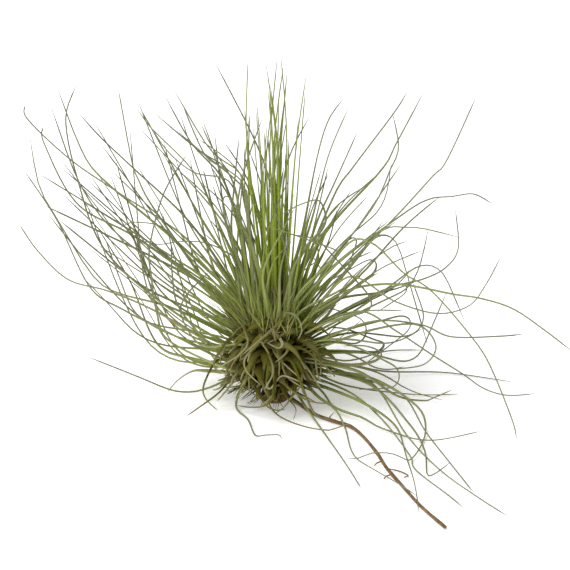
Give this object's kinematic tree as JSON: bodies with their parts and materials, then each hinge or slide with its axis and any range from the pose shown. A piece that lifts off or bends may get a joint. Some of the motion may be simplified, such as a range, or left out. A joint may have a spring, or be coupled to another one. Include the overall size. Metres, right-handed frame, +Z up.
{
  "type": "air plant",
  "caption": "Thread-leaved air plant, potless: a small bulb bristling with fine grey-green needle leaves that sweep up, arch and trail, with a green heart tuft and a long bare root.",
  "frame": {"origin": "the middle of the stem's flat foot, on the surface that the plant stands on", "axes": "+Z up along the heart tuft, +X to the right seen from the front, and the front faces -Y"},
  "size_m": [0.1425, 0.1388, 0.0955],
  "materials": {
    "stem_bark": "dry, matte",
    "root_bark": "dry, matte",
    "grey_leaf": "matte with a fine silvery bloom",
    "green_leaf": "satin with a fine silvery bloom"
  },
  "bodies": {
    "root": {"short_stem": "stem_bark", "long_root": "root_bark", "rosette": "grey_leaf", "heart_tuft": "green_leaf"}
  },
  "joints": []
}
